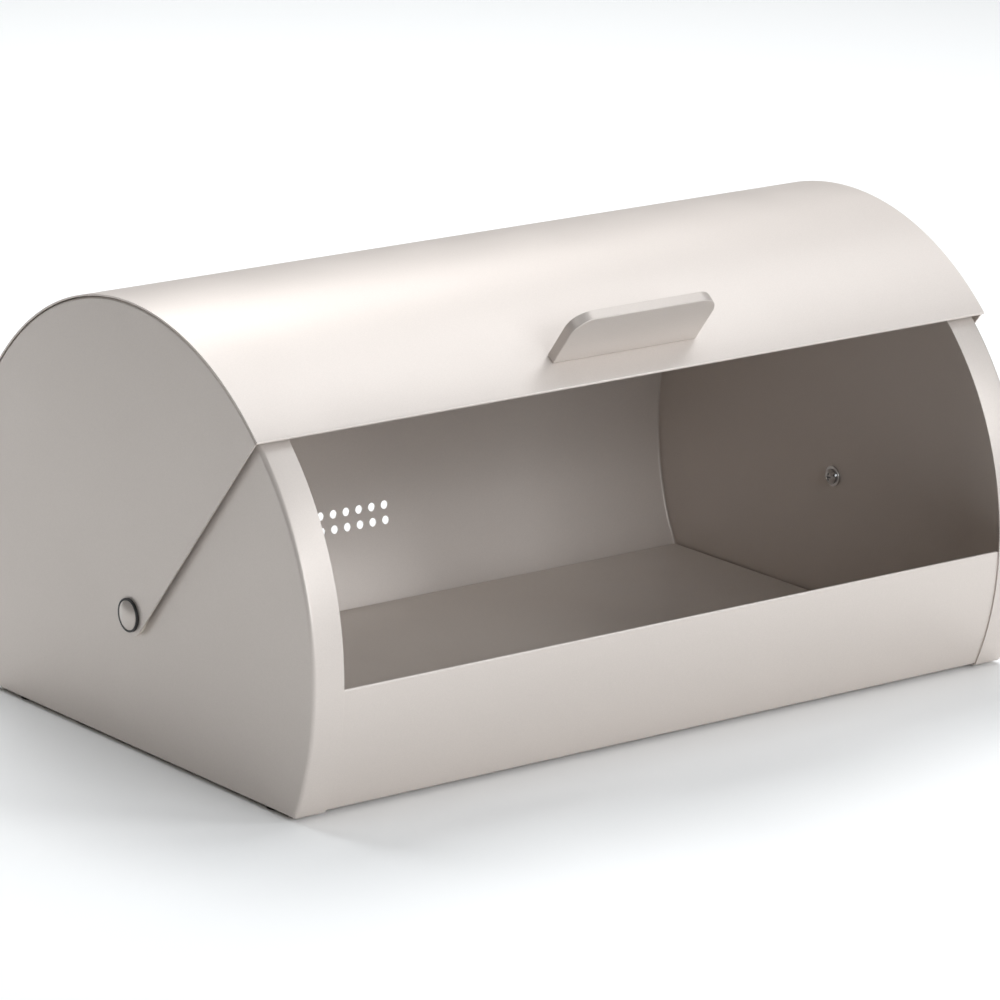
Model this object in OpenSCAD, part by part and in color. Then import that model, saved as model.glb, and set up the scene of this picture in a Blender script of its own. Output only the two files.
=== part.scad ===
// Bread box with a one-piece barrel lid that swings open on two side pivots.
// The pivot axis runs along X, the front of the box faces -Y and +Z is up.
// Z = 0 is the worktop, and X = Y = 0 is the middle of the box.
// Angles round the pivot start at the front horizontal and rise towards the top.

/* [Body] */
// Width over the outer faces of the two side panels
body_w = 400; // [320:1:480]
// Radius of the barrel, over the flanges of the side panels
barrel_r = 138; // [115:1:165]
// Height of the pivot axis above the underside of the body
pivot_h = 63; // [50:1:72]
// Thickness of the sheet steel
sheet_t = 0.8; // [0.6:0.05:1]
// Width of the flange turned inwards all round each side panel
flange_w = 16; // [13:0.5:24]
// Outside radius of the bends in the sheet
bend_r = 2; // [1.6:0.1:3]
// Depth of the turned-over hems and of the lapped flanges under the floor
hem_w = 7; // [5:0.5:9]
// Angle of the front panel's top edge
sill_a = -2.2; // [-8:0.1:4]
// Angle of the back shell's front edge, under the lid
crown_a = 88; // [80:0.5:92]

/* [Vents] */
// Number of holes in each row
vent_cols = 9; // [3:1:15]
// Number of rows
vent_rows = 2; // [1:1:4]
// Diameter of each hole
vent_d = 4.2; // [2:0.1:5]
// Spacing of the holes along a row and round the barrel
vent_pitch = 7.5; // [6:0.1:12]
// How far the middle of the group lies below the level of the pivot axis, in degrees
vent_drop_a = 8.6; // [4:0.1:14]

/* [Lid] */
// Clear gap between the barrel and the inside of the lid cover
lid_gap = 3.7; // [2.5:0.1:6]
// Clear gap between a side panel and the lid cheek outside it
cheek_gap = 2.2; // [1.5:0.1:4]
// Angle between the two straight edges of a cheek
fan_a = 91.3; // [80:0.1:94]
// Radius round the lower tip of a cheek
tip_r = 9.8; // [9.6:0.1:14]
// Width of the flange turned inwards along the curved edge of a cheek
cheek_flange_w = 10; // [6:0.5:14]
// Angle of the lid's front edge in the half-open position that is drawn
lid_open_a = 44.4; // [0:0.1:80]
// How far the stop strip reaches inside the radius of the barrel
stop_depth = 7; // [5:0.5:10]
// Width of the stop strip's curved web
stop_web_w = 15; // [12:0.5:20]

/* [Handle] */
// Width of the handle
handle_w = 80; // [60:1:140]
// Thickness of the handle
handle_t = 5.3; // [4.6:0.1:8]
// How far the handle stands out of the lid
handle_reach = 29; // [20:0.5:36]
// Radius of its two outer corners
handle_corner_r = 10; // [4:0.5:16]
// Distance from the lid's front edge to the middle of the handle, along the lid
handle_rise = 15.2; // [13:0.1:22]
// Distance between the two handle screws
handle_screw_span = 50; // [30:1:56]

/* [Pivots] */
// Diameter of the shoulder that the cheek turns on
shoulder_d = 8; // [6:0.5:9]
// Diameter of the domed head outside the cheek
head_d = 13.4; // [11:0.1:18]
// Height of the domed head
head_h = 2.4; // [1.6:0.1:4]
// Diameter of the screw that clamps the post to the side panel
screw_d = 4; // [3:0.5:4]
// Diameter of that screw's pan head
screw_head_d = 7.4; // [6:0.1:8.5]
// Diameter of the washer under the screw head
washer_d = 10; // [9:0.1:14]

/* [Feet] */
// Diameter of the stick-on rubber pads
foot_d = 12; // [8:0.5:12]
// Thickness of the pads
foot_h = 1.5; // [1:0.1:3]
// Distance of the pads from the middle of the box, front and back
foot_y = 100; // [60:1:105]

/* [Hidden] */
$fn = 144;

run_gap = 0.05;      // radial running clearance of the shoulder in the cheek
play = 0.1;          // end play on each side of a cheek
edge_gap = 0.2;      // gap left where the edge of one sheet ends beside another
tip_proud = 0.03;    // by which the round of a cheek's tip stands proud of its edges
cut = 400;           // reach of the shapes that only cut
spacer_d = 18;       // plain washer between side panel and cheek
outer_washer_d = 15.4;
outer_washer_t = 0.5;
outer_washer_rim = 0.9;   // by which its rim stands up round the domed head
head_gap = 0.1;           // between the head and that rim
inner_washer_t = 1;
spigot_d = 6;        // end of the post that locates in the side panel
spigot_gap = 0.1;
screw_head_h = 2.6;
handle_screw_d = 3;
handle_screw_head_d = 5.6;
handle_screw_head_h = 1.7;
handle_screw_reach = 9;   // length of thread in the handle
screw_hole_gap = 0.2;     // clearance round a handle screw in the sheet

side_x = body_w / 2;                          // outer face of a side panel
base_z = foot_h;                              // underside of the body
pivot_z = base_z + pivot_h;
wrap_r = barrel_r - sheet_t;                  // outside of the front panel and back shell
wrap_z = base_z + sheet_t;                    // underside of their lapped flanges
wrap_x = side_x - bend_r - edge_gap;          // half width of the sheets between the panels
corner_z = wrap_z + bend_r;                   // centre of the bottom bends
corner_y = sqrt(pow(wrap_r - bend_r, 2) - pow(pivot_z - corner_z, 2));
lap_w = hem_w + bend_r;                       // reach of the lapped flanges
floor_y = corner_y - edge_gap;
lid_r = barrel_r + lid_gap + sheet_t;         // outside of the lid cover
lid_x = side_x + cheek_gap + sheet_t;         // outer face of a cheek
lid_half_a = fan_a / 2 + asin(tip_r / lid_r);
lid_mid_a = lid_open_a + lid_half_a;
hem_a = hem_w / lid_r * 180 / PI;
stop_a = lid_open_a + hem_a + 0.4;            // front face of the stop strip's leg
stop_r = lid_r - 2 * sheet_t;                 // inside of the strip's web
stop_x = side_x - flange_w - 2;               // the strip passes between the flanges
handle_a = lid_open_a + handle_rise / lid_r * 180 / PI;
head_x = lid_x + outer_washer_t + play;       // underside of the domed head
steel = [0.74, 0.72, 0.69];
zinc = [0.72, 0.73, 0.75];

// Point at radius r and angle a round the pivot axis, in the Y-Z plane
function at(r, a) = [-r * cos(a), pivot_z + r * sin(a)];

// Turns a Y-Z outline into a solid from x0 to x1
module along_x(x0, x1) {
    translate([x0, 0, 0]) rotate([90, 0, 90]) linear_extrude(x1 - x0) children();
}

// Puts a child drawn about +Z on the pivot axis, with +Z towards +X
module on_pivot(x) {
    translate([x, 0, pivot_z]) rotate([0, 90, 0]) children();
}

// Draws a child made for the right-hand side on the left or the right
module on_side(left) {
    if (left) mirror([1, 0, 0]) children();
    else children();
}

// Puts a child drawn about +Z on a radius at angle a, with +Z pointing outwards
module on_radius(a) {
    translate([0, 0, pivot_z]) rotate([90 - a, 0, 0]) children();
}

// Everything between two angles round the pivot, out to the reach of a cutter
module sector(a0, a1) {
    steps = ceil((a1 - a0) / 60);
    polygon(concat([at(0, 0)], [for (i = [0:steps]) at(cut, a0 + (a1 - a0) * i / steps)]));
}

// Sheet rolled to outer radius r, between two angles
module rolled(r, t, a0, a1) {
    intersection() {
        difference() {
            translate(at(0, 0)) circle(r);
            translate(at(0, 0)) circle(r - t);
        }
        sector(a0, a1);
    }
}

// Edge of a rolled sheet turned back flat on itself, with a round fold at angle a
module hem(r, a, towards) {
    turn = towards * hem_w / r * 180 / PI;
    rolled(r, 2 * sheet_t, min(a, a + turn), max(a, a + turn));
    translate(at(r - sheet_t, a)) circle(sheet_t);
}

// Barrel outline with a flat bottom at height z and rounded bottom edges
module barrel_outline(r, z, corner) {
    cz = z + corner;
    cy = sqrt(pow(r - corner, 2) - pow(pivot_z - cz, 2));
    difference() {
        intersection() {
            translate(at(0, 0)) circle(r);
            translate([-cut, z]) square([2 * cut, cut]);
        }
        for (s = [-1, 1]) difference() {
            polygon([
                [s * cy, cz], [s * cy, z - corner], [s * (cy + 4 * corner), z - corner],
                [s * cy * (1 + 9 * corner / r), cz - (pivot_z - cz) * 9 * corner / r]
            ]);
            translate([s * cy, cz]) circle(corner);
        }
    }
}

// Closed band of sheet round the barrel: back, floor flange and front in one line
module wrap_band() {
    difference() {
        barrel_outline(wrap_r, wrap_z, bend_r);
        barrel_outline(wrap_r - sheet_t, wrap_z + sheet_t, bend_r - sheet_t);
    }
}

// Solid of a pressed side panel's outside, shrunk by an inset, for the right-hand side
module pan_solid(inset, depth) {
    r = barrel_r - inset;
    bend = bend_r - inset;
    face = side_x - inset;
    intersection() {
        on_pivot(face - depth) rotate_extrude() {
            square([r - bend, depth]);
            square([r, depth - bend]);
            translate([r - bend, depth - bend]) circle(bend);
        }
        translate([0, cut / 2, 0]) rotate([90, 0, 0]) linear_extrude(cut) union() {
            translate([face - depth, base_z + inset + bend]) square([depth, cut]);
            translate([face - depth, base_z + inset]) square([depth - bend, cut]);
            translate([face - bend, base_z + inset + bend]) circle(bend);
        }
    }
}

module side_panel(left) {
    color(steel) on_side(left) difference() {
        pan_solid(0, flange_w);
        pan_solid(sheet_t, flange_w + 1);
        on_pivot(side_x - 2 * sheet_t) cylinder(d = spigot_d + 2 * spigot_gap, h = 3 * sheet_t);
    }
}

module front_panel() {
    lap_y = -corner_y + lap_w;
    color(steel) along_x(-wrap_x, wrap_x) {
        intersection() {
            wrap_band();
            polygon([
                at(0, 0), at(cut, sill_a), [-cut, -cut], [lap_y, -cut],
                [lap_y, wrap_z + 2 * sheet_t]
            ]);
        }
        hem(wrap_r, sill_a, -1);
    }
}

module floor_panel() {
    color(steel) translate([-wrap_x, -floor_y, wrap_z + sheet_t])
        cube([2 * wrap_x, 2 * floor_y, sheet_t]);
}

module vents() {
    mid = (vent_cols - 1) / 2;
    row_a = vent_pitch / wrap_r * 180 / PI;
    first_a = 180 + vent_drop_a - row_a * (vent_rows - 1) / 2;
    for (row = [0:vent_rows - 1], col = [0:vent_cols - 1])
        on_radius(first_a + row * row_a) translate([(col - mid) * vent_pitch, 0, wrap_r - 5])
            cylinder(d = vent_d, h = 10, $fn = 32);
}

module back_shell() {
    lap_y = corner_y - lap_w;
    color(steel) difference() {
        along_x(-wrap_x, wrap_x) {
            intersection() {
                wrap_band();
                polygon([
                    at(0, 0), at(cut, crown_a), [cut, cut], [cut, -cut], [lap_y, -cut],
                    [lap_y, wrap_z + 2 * sheet_t]
                ]);
            }
            hem(wrap_r, crown_a, 1);
        }
        vents();
    }
}

// Fan-shaped outline of the lid seen from the side: a wedge with a round tip.
// The round stands a hair proud of the straight edges, so that the two cross cleanly.
module fan_outline(r) {
    front_a = lid_mid_a - fan_a / 2;
    rear_a = lid_mid_a + fan_a / 2;
    front_tip = at(tip_r, front_a - 90);
    rear_tip = at(tip_r, rear_a + 90);
    intersection() {
        translate(at(0, 0)) circle(r);
        union() {
            polygon([
                front_tip, front_tip + at(cut, front_a) - at(0, 0), at(3 * cut, lid_mid_a),
                rear_tip + at(cut, rear_a) - at(0, 0), rear_tip
            ]);
            translate(at(0, 0)) circle(tip_r + tip_proud);
        }
    }
}

// Solid of a lid cheek's outside, shrunk by an inset, for the right-hand side
module cheek_solid(inset, depth) {
    r = lid_r - sheet_t - inset;
    bend = bend_r - inset;
    on_pivot(lid_x - inset - depth) rotate_extrude() {
        square([r - bend, depth]);
        square([r, depth - bend]);
        translate([r - bend, depth - bend]) circle(bend);
    }
}

module lid_cheek(left) {
    color(steel) on_side(left) difference() {
        intersection() {
            cheek_solid(0, cheek_flange_w);
            along_x(lid_x - cheek_flange_w - 1, lid_x + 1) fan_outline(lid_r + 1);
        }
        cheek_solid(sheet_t, cheek_flange_w + 1);
        on_pivot(lid_x - 2 * sheet_t) cylinder(d = shoulder_d + 2 * run_gap, h = 3 * sheet_t);
    }
}

// Clearance holes for the two handle screws
module handle_screw_holes() {
    for (s = [-1, 1]) on_radius(handle_a)
        translate([s * handle_screw_span / 2, 0, stop_r - 5])
            cylinder(d = handle_screw_d + 2 * screw_hole_gap, h = 12);
}

// Both edges are hemmed; at the ends the hem is left off, where the cheek flanges lie
module lid_cover() {
    front_a = lid_mid_a - lid_half_a;
    rear_a = lid_mid_a + lid_half_a;
    hem_x = lid_x - cheek_flange_w - edge_gap;
    color(steel) difference() {
        along_x(-lid_x, lid_x) {
            rolled(lid_r, sheet_t, front_a, rear_a);
            hem(lid_r, front_a, 1);
            hem(lid_r, rear_a, -1);
        }
        for (left = [true, false]) on_side(left) on_pivot(hem_x)
            cylinder(r = lid_r - sheet_t, h = lid_x);
        handle_screw_holes();
    }
}

// L-section: the web lies inside the cover and the leg hangs from its front edge
module lid_stop_strip() {
    web_a = stop_web_w / stop_r * 180 / PI;
    thick_a = sheet_t / lid_r * 180 / PI;
    thick = sheet_t * [sin(stop_a), cos(stop_a)];
    leg_foot = at(barrel_r - stop_depth, stop_a);
    leg_head = at(cut, stop_a);
    color(steel) difference() {
        along_x(-stop_x, stop_x) intersection() {
            translate(at(0, 0)) circle(lid_r - sheet_t);
            union() {
                polygon([leg_foot, leg_head, leg_head + thick, leg_foot + thick]);
                difference() {
                    sector(stop_a + thick_a / 2, stop_a + web_a);
                    translate(at(0, 0)) circle(stop_r);
                }
            }
        }
        handle_screw_holes();
    }
}

module handle() {
    low = lid_r - 2;
    high = lid_r + handle_reach;
    straight = handle_w / 2 - handle_corner_r;
    color(steel) difference() {
        on_radius(handle_a) translate([0, handle_t / 2, 0]) rotate([90, 0, 0])
            linear_extrude(handle_t) {
                translate([-handle_w / 2, low])
                    square([handle_w, high - low - handle_corner_r]);
                translate([-straight, low]) square([2 * straight, high - low]);
                for (s = [-1, 1]) translate([s * straight, high - handle_corner_r])
                    circle(handle_corner_r);
            }
        on_pivot(-handle_w) cylinder(r = lid_r, h = 2 * handle_w);
        for (s = [-1, 1]) on_radius(handle_a)
            translate([s * handle_screw_span / 2, 0, lid_r - 5])
                cylinder(d = handle_screw_d, h = 5 + handle_screw_reach + 1);
    }
}

// Domed head: a flat-based button whose top is part of a large sphere
module dome(d, h, rim) {
    rise = h - rim;
    dome_r = (pow(d / 2, 2) + pow(rise, 2)) / (2 * rise);
    rotate_extrude() {
        square([d / 2, rim]);
        intersection() {
            translate([0, h - dome_r]) circle(dome_r);
            translate([0, rim / 2]) square([d / 2, h]);
        }
    }
}

// Cross recess cut into a screw head whose top is at z = 0
module cross_recess(size, depth) {
    for (a = [0, 90]) rotate([90, 0, a]) translate([0, 0, -size / 10])
        linear_extrude(size / 5)
            polygon([[-size / 2, 1], [size / 2, 1], [size / 2, 0], [size / 7, -depth],
                [-size / 7, -depth], [-size / 2, 0]]);
}

// Pan-head screw: underside of the head at z = 0, shank towards -z
module pan_screw(d, length, head, head_height) {
    difference() {
        union() {
            dome(head, head_height, head_height * 0.45);
            translate([0, 0, -length]) cylinder(d = d, h = length + head_height / 4);
        }
        translate([0, 0, head_height]) cross_recess(head * 0.58, head_height * 0.55);
    }
}

module pivot_post(left) {
    bore_depth = head_x - side_x + sheet_t + head_h / 3;
    color(steel) on_side(left) difference() {
        union() {
            on_pivot(head_x) dome(head_d, head_h, head_h * 0.35);
            on_pivot(side_x) cylinder(d = shoulder_d, h = head_x - side_x);
            on_pivot(side_x - sheet_t) cylinder(d = spigot_d, h = 2 * sheet_t);
        }
        on_pivot(side_x - sheet_t - 1) cylinder(d = screw_d, h = bore_depth + 1);
    }
}

module spacer_washer(left) {
    color("ivory") on_side(left) on_pivot(side_x) difference() {
        cylinder(d = spacer_d, h = cheek_gap - play);
        translate([0, 0, -1]) cylinder(d = shoulder_d + 2 * run_gap, h = cheek_gap + 2);
    }
}

module outer_washer(left) {
    rim = outer_washer_t + outer_washer_rim;
    color([0.1, 0.1, 0.1]) on_side(left) on_pivot(head_x - outer_washer_t) difference() {
        cylinder(d = outer_washer_d, h = rim);
        translate([0, 0, outer_washer_t]) cylinder(d = head_d + 2 * head_gap, h = rim);
        translate([0, 0, -1]) cylinder(d = shoulder_d + 2 * run_gap, h = rim + 2);
    }
}

module inner_washer(left) {
    color(zinc) on_side(left) on_pivot(side_x - sheet_t - inner_washer_t) difference() {
        cylinder(d = washer_d, h = inner_washer_t);
        translate([0, 0, -1]) cylinder(d = screw_d + 2 * spigot_gap, h = inner_washer_t + 2);
    }
}

module pivot_screw(left) {
    length = inner_washer_t + head_x - side_x + sheet_t;
    color(zinc) on_side(left) on_pivot(side_x - sheet_t - inner_washer_t) rotate([180, 0, 0])
        pan_screw(screw_d, length, screw_head_d, screw_head_h);
}

// The head's rim touches the curved web, so its seat lies a little inside that radius
module handle_screw(side) {
    seat_r = sqrt(pow(stop_r, 2) - pow(handle_screw_head_d / 2, 2));
    length = lid_r - seat_r + handle_screw_reach;
    color(zinc) on_radius(handle_a) translate([side * handle_screw_span / 2, 0, seat_r])
        rotate([180, 0, 0])
            pan_screw(handle_screw_d, length, handle_screw_head_d, handle_screw_head_h);
}

module foot(side, end) {
    color([0.15, 0.15, 0.15])
        translate([side * (side_x - flange_w / 2), end * foot_y, 0])
            cylinder(d = foot_d, h = foot_h);
}

side_panel(true);  // left_side_panel
side_panel(false);  // right_side_panel
front_panel();
floor_panel();
back_shell();
pivot_post(true);  // left_pivot_post
pivot_post(false);  // right_pivot_post
spacer_washer(true);  // left_spacer_washer
spacer_washer(false);  // right_spacer_washer
outer_washer(true);  // left_outer_washer
outer_washer(false);  // right_outer_washer
inner_washer(true);  // left_inner_washer
inner_washer(false);  // right_inner_washer
pivot_screw(true);  // left_pivot_screw
pivot_screw(false);  // right_pivot_screw
foot(-1, -1);  // foot_front_left
foot(1, -1);  // foot_front_right
foot(-1, 1);  // foot_rear_left
foot(1, 1);  // foot_rear_right
lid_cover();
lid_cheek(true);  // lid_left_cheek
lid_cheek(false);  // lid_right_cheek
lid_stop_strip();
handle();
handle_screw(-1);  // handle_screw_left
handle_screw(1);  // handle_screw_right
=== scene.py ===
"""Bread box with a one-piece barrel lid: its finished surfaces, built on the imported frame."""

import math

import bmesh
import bpy
from bpy.props import FloatProperty, FloatVectorProperty, IntProperty, PointerProperty, StringProperty
from mathutils import Matrix, Vector


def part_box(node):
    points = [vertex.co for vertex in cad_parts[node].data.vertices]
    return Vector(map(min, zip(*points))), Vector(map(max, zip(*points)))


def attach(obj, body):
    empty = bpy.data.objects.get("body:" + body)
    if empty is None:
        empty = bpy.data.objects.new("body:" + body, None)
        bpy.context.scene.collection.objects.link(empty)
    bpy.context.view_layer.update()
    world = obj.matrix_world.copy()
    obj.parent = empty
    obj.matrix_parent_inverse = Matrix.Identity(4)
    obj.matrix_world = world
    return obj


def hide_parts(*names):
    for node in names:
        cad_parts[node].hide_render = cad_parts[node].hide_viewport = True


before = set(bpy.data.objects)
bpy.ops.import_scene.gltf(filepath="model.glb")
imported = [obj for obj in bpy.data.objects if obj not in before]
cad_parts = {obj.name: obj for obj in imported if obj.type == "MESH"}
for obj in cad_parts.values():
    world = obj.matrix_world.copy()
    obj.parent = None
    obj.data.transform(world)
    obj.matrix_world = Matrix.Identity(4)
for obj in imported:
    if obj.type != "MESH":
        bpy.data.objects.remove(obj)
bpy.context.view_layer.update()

bl_info = {
    "name": "Bread box with barrel lid",
    "version": (1, 0, 0),
    "blender": (4, 5, 0),
    "location": "3D View > Sidebar > Bread box",
    "description": "Builds the sheet panels, lid, handle, pivots and studio of a bread box",
    "category": "Add Mesh",
}

MM = 0.001
SIDES = (("left", -1), ("right", 1))
BODY, LID = "base", "lid"

# The frame's own measures, in metres. Angles round the pivot start at the front
# horizontal and rise towards the top.
PANEL_LO, PANEL_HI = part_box("right_side_panel")
COVER_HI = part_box("lid_cover")[1]
POST_LO, POST_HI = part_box("right_pivot_post")
CUP_LO, CUP_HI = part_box("right_outer_washer")
WRAP_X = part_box("front_panel")[1].x     # half width of the sheets between the side panels
STOP_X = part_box("lid_stop_strip")[1].x  # half width of the stop strip
PIVOT_Z = (POST_LO.z + POST_HI.z) / 2
SIDE_X = PANEL_HI.x                     # outer face of a side panel
FLANGE_W = PANEL_HI.x - PANEL_LO.x
BARREL_R = -PANEL_LO.y
BASE_Z = PANEL_LO.z                     # underside of the body
LID_X = COVER_HI.x                      # outer face of a lid cheek
LID_R = COVER_HI.z - PIVOT_Z            # outside of the lid cover

# Small fixed sizes of the pivots and of the sheet work
SHOULDER_R, SHOULDER_BORE_R = 4 * MM, 4.05 * MM     # what a cheek turns on, and its hole
SPIGOT_R, SPIGOT_BORE_R = 3 * MM, 3.1 * MM          # end of a post, and its hole in the panel
SCREW_BORE_R = 2.1 * MM                 # hole of the washer under a pivot screw
CUP_FLOOR = 0.5 * MM                    # thickness of the cup washer's floor
HEM_GAP = 0.12 * MM                     # step from a hem's cut edge to the plain sheet
EDGE_A = math.radians(32)               # folds sharper than this are edges
WASHER_EDGE = 0.14 * MM                 # rounding of a flat washer's edges
MIN_CORNER_R = 0.4 * MM                 # least corner radius of a panel's inner outline
LID_STEPS = 73                          # points along a cheek's arc, and the cover's between its hems
PANEL_STEPS = 145                       # points along a side panel's arc


# ---------------------------------------------------------------- settings

class SheetSettings(bpy.types.PropertyGroup):
    """Sizes of the folded sheet work"""

    sheet_t: FloatProperty(
        name="Sheet thickness", description="Thickness of the sheet steel with its coat",
        default=0.8 * MM, unit="LENGTH")
    bend_r: FloatProperty(
        name="Bend radius", description="Outside radius of the bends",
        default=2.0 * MM, unit="LENGTH")
    hem_w: FloatProperty(
        name="Hem depth", description="Depth of the turned-over edges",
        default=7.0 * MM, unit="LENGTH")
    edge_r: FloatProperty(
        name="Edge rounding", description="Rounding that the coat gives to a cut edge",
        default=0.22 * MM, unit="LENGTH")
    corner_r: FloatProperty(
        name="Panel corner", description="Radius of a side panel's two lower corners",
        default=2.6 * MM, unit="LENGTH")
    floor_sag: FloatProperty(
        name="Floor sag", description="Dip of the floor panel between its welded edges",
        default=0.15 * MM, unit="LENGTH")
    sill_a: FloatProperty(
        name="Sill angle", description="Angle of the front panel's top edge",
        default=math.radians(-2.2), subtype="ANGLE")
    crown_a: FloatProperty(
        name="Crown angle", description="Angle of the back shell's front edge",
        default=math.radians(88), subtype="ANGLE")
    vent_d: FloatProperty(
        name="Vent diameter", description="Diameter of each punched vent",
        default=4.2 * MM, unit="LENGTH")
    vent_pitch: FloatProperty(
        name="Vent pitch", description="Spacing of the vents along and across the rows",
        default=7.5 * MM, unit="LENGTH")
    vent_cols: IntProperty(
        name="Vent columns", description="Number of vents in a row", default=9, min=1)
    vent_drop_a: FloatProperty(
        name="Vent drop", description="Angle of the vents' middle below the pivot's level",
        default=math.radians(8.6), subtype="ANGLE")


class LidSettings(bpy.types.PropertyGroup):
    """Sizes of the lid, its handle and its pivots"""

    open_a: FloatProperty(
        name="Lid angle", description="Angle of the lid's front edge as it stands in the frame",
        default=math.radians(44.4), subtype="ANGLE")
    fan_a: FloatProperty(
        name="Fan angle", description="Angle between a cheek's straight edges",
        default=math.radians(91.3), subtype="ANGLE")
    tip_r: FloatProperty(
        name="Tip radius", description="Radius round the lower tip of a cheek",
        default=9.8 * MM, unit="LENGTH")
    flange_w: FloatProperty(
        name="Cheek flange", description="Width of the flange along a cheek's curved edge",
        default=10.0 * MM, unit="LENGTH")
    cheek_bend_r: FloatProperty(
        name="Cheek bend", description="Outside radius of the bend along a cheek's curved edge",
        default=1.1 * MM, unit="LENGTH")
    cover_slot: FloatProperty(
        name="Cover slot", description="Open seam between a cheek's rim and the cover",
        default=0.35 * MM, unit="LENGTH")
    stop_reach: FloatProperty(
        name="Stop reach", description="How far the stop strip's leg reaches inside the barrel",
        default=7.0 * MM, unit="LENGTH")
    web_w: FloatProperty(
        name="Stop strip web", description="Width of the strip inside the cover's front edge",
        default=15.0 * MM, unit="LENGTH")
    handle_rise: FloatProperty(
        name="Handle rise", description="Distance from the front edge to the handle's middle",
        default=15.2 * MM, unit="LENGTH")
    handle_t: FloatProperty(
        name="Handle thickness", description="Thickness of the cast handle",
        default=5.3 * MM, unit="LENGTH")
    handle_reach: FloatProperty(
        name="Handle reach", description="How far the handle stands out of the lid",
        default=29.0 * MM, unit="LENGTH")
    handle_corner_r: FloatProperty(
        name="Handle corner", description="Radius of the handle's outer corners",
        default=10.0 * MM, unit="LENGTH")
    handle_edge_r: FloatProperty(
        name="Handle edge", description="Rounding of the handle's long edges",
        default=0.55 * MM, unit="LENGTH")


class FinishSettings(bpy.types.PropertyGroup):
    """Colours and gloss of the finishes"""

    coat_hex: StringProperty(
        name="Powder coat", description="Colour of the powder coat, sRGB hex", default="D3CAC3")
    # The floor panel's coat colour is paler than the other panels' coat. That is painted light: it
    # stands in for the light that falls into the box onto its floor.
    floor_painted_light_hex: StringProperty(
        name="Floor coat with painted light", description="Colour of the floor panel's coat, paled by painted light, sRGB hex",
        default="E6DFD8")
    coat_rough: FloatProperty(
        name="Coat roughness", description="Roughness of the satin powder coat",
        default=0.42, min=0, max=1, subtype="FACTOR")
    flake: FloatProperty(
        name="Metal flake", description="Share of the coat that shines like aluminium flake",
        default=0.3, min=0, max=1, subtype="FACTOR")
    peel_mm: FloatProperty(
        name="Orange peel", description="Spacing of the coat's fine ripples, in millimetres",
        default=1.6, min=0.2)
    handle_hex: StringProperty(
        name="Handle", description="Colour of the coated casting, sRGB hex", default="C8BFB8")
    post_hex: StringProperty(
        name="Pivot head", description="Colour of the painted pivot head, sRGB hex",
        default="CFC6BF")
    zinc_hex: StringProperty(
        name="Zinc plate", description="Colour of the plated screws, sRGB hex", default="DADBDC")
    floor_hex: StringProperty(
        name="Studio floor", description="Colour of the studio floor, sRGB hex", default="FAFAF9")


class StageSettings(bpy.types.PropertyGroup):
    """Camera and studio light"""

    azimuth: FloatProperty(
        name="Camera azimuth", description="Camera's turn round the box from straight ahead",
        default=math.radians(-36.43), subtype="ANGLE")
    elevation: FloatProperty(
        name="Camera elevation", description="Camera's height above the horizontal",
        default=math.radians(15.10), subtype="ANGLE")
    distance: FloatProperty(
        name="Camera distance", description="Distance from the camera to the point it faces",
        default=2.582, unit="LENGTH")
    aim: FloatVectorProperty(
        name="Camera aim", description="Point that the camera faces",
        default=(-0.0004, 0.0, 0.0844), subtype="XYZ")
    lens: FloatProperty(
        name="Lens", description="Focal length in millimetres on a 36 mm sensor", default=202.0)
    world_level: FloatProperty(
        name="Room light", description="Strength of the even light from all round", default=0.0)


# ---------------------------------------------------------------- materials

def linear(code):
    """sRGB hex colour as linear RGBA."""
    parts = [int(code[i:i + 2], 16) / 255 for i in (0, 2, 4)]
    return [c / 12.92 if c <= 0.04045 else ((c + 0.055) / 1.055) ** 2.4 for c in parts] + [1.0]


def add(tree, kind, settings=None, inputs=None, links=None):
    """Adds a node, sets its attributes and sockets, and links (input, from node, output)."""
    node = tree.nodes.new(kind)
    for key, value in (settings or {}).items():
        setattr(node, key, value)
    for key, value in (inputs or {}).items():
        node.inputs[key].default_value = value
    for key, source, output in links or ():
        tree.links.new(source.outputs[output], node.inputs[key])
    return node


def new_material(name):
    """Empty node material and its tree."""
    mat = bpy.data.materials.new(name)
    mat.use_nodes = True
    mat.node_tree.nodes.clear()
    return mat, mat.node_tree


def tone(code, factor):
    """Linear colour made lighter or darker by a factor."""
    return [min(1.0, c * factor) for c in linear(code)[:3]] + [1.0]


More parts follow.
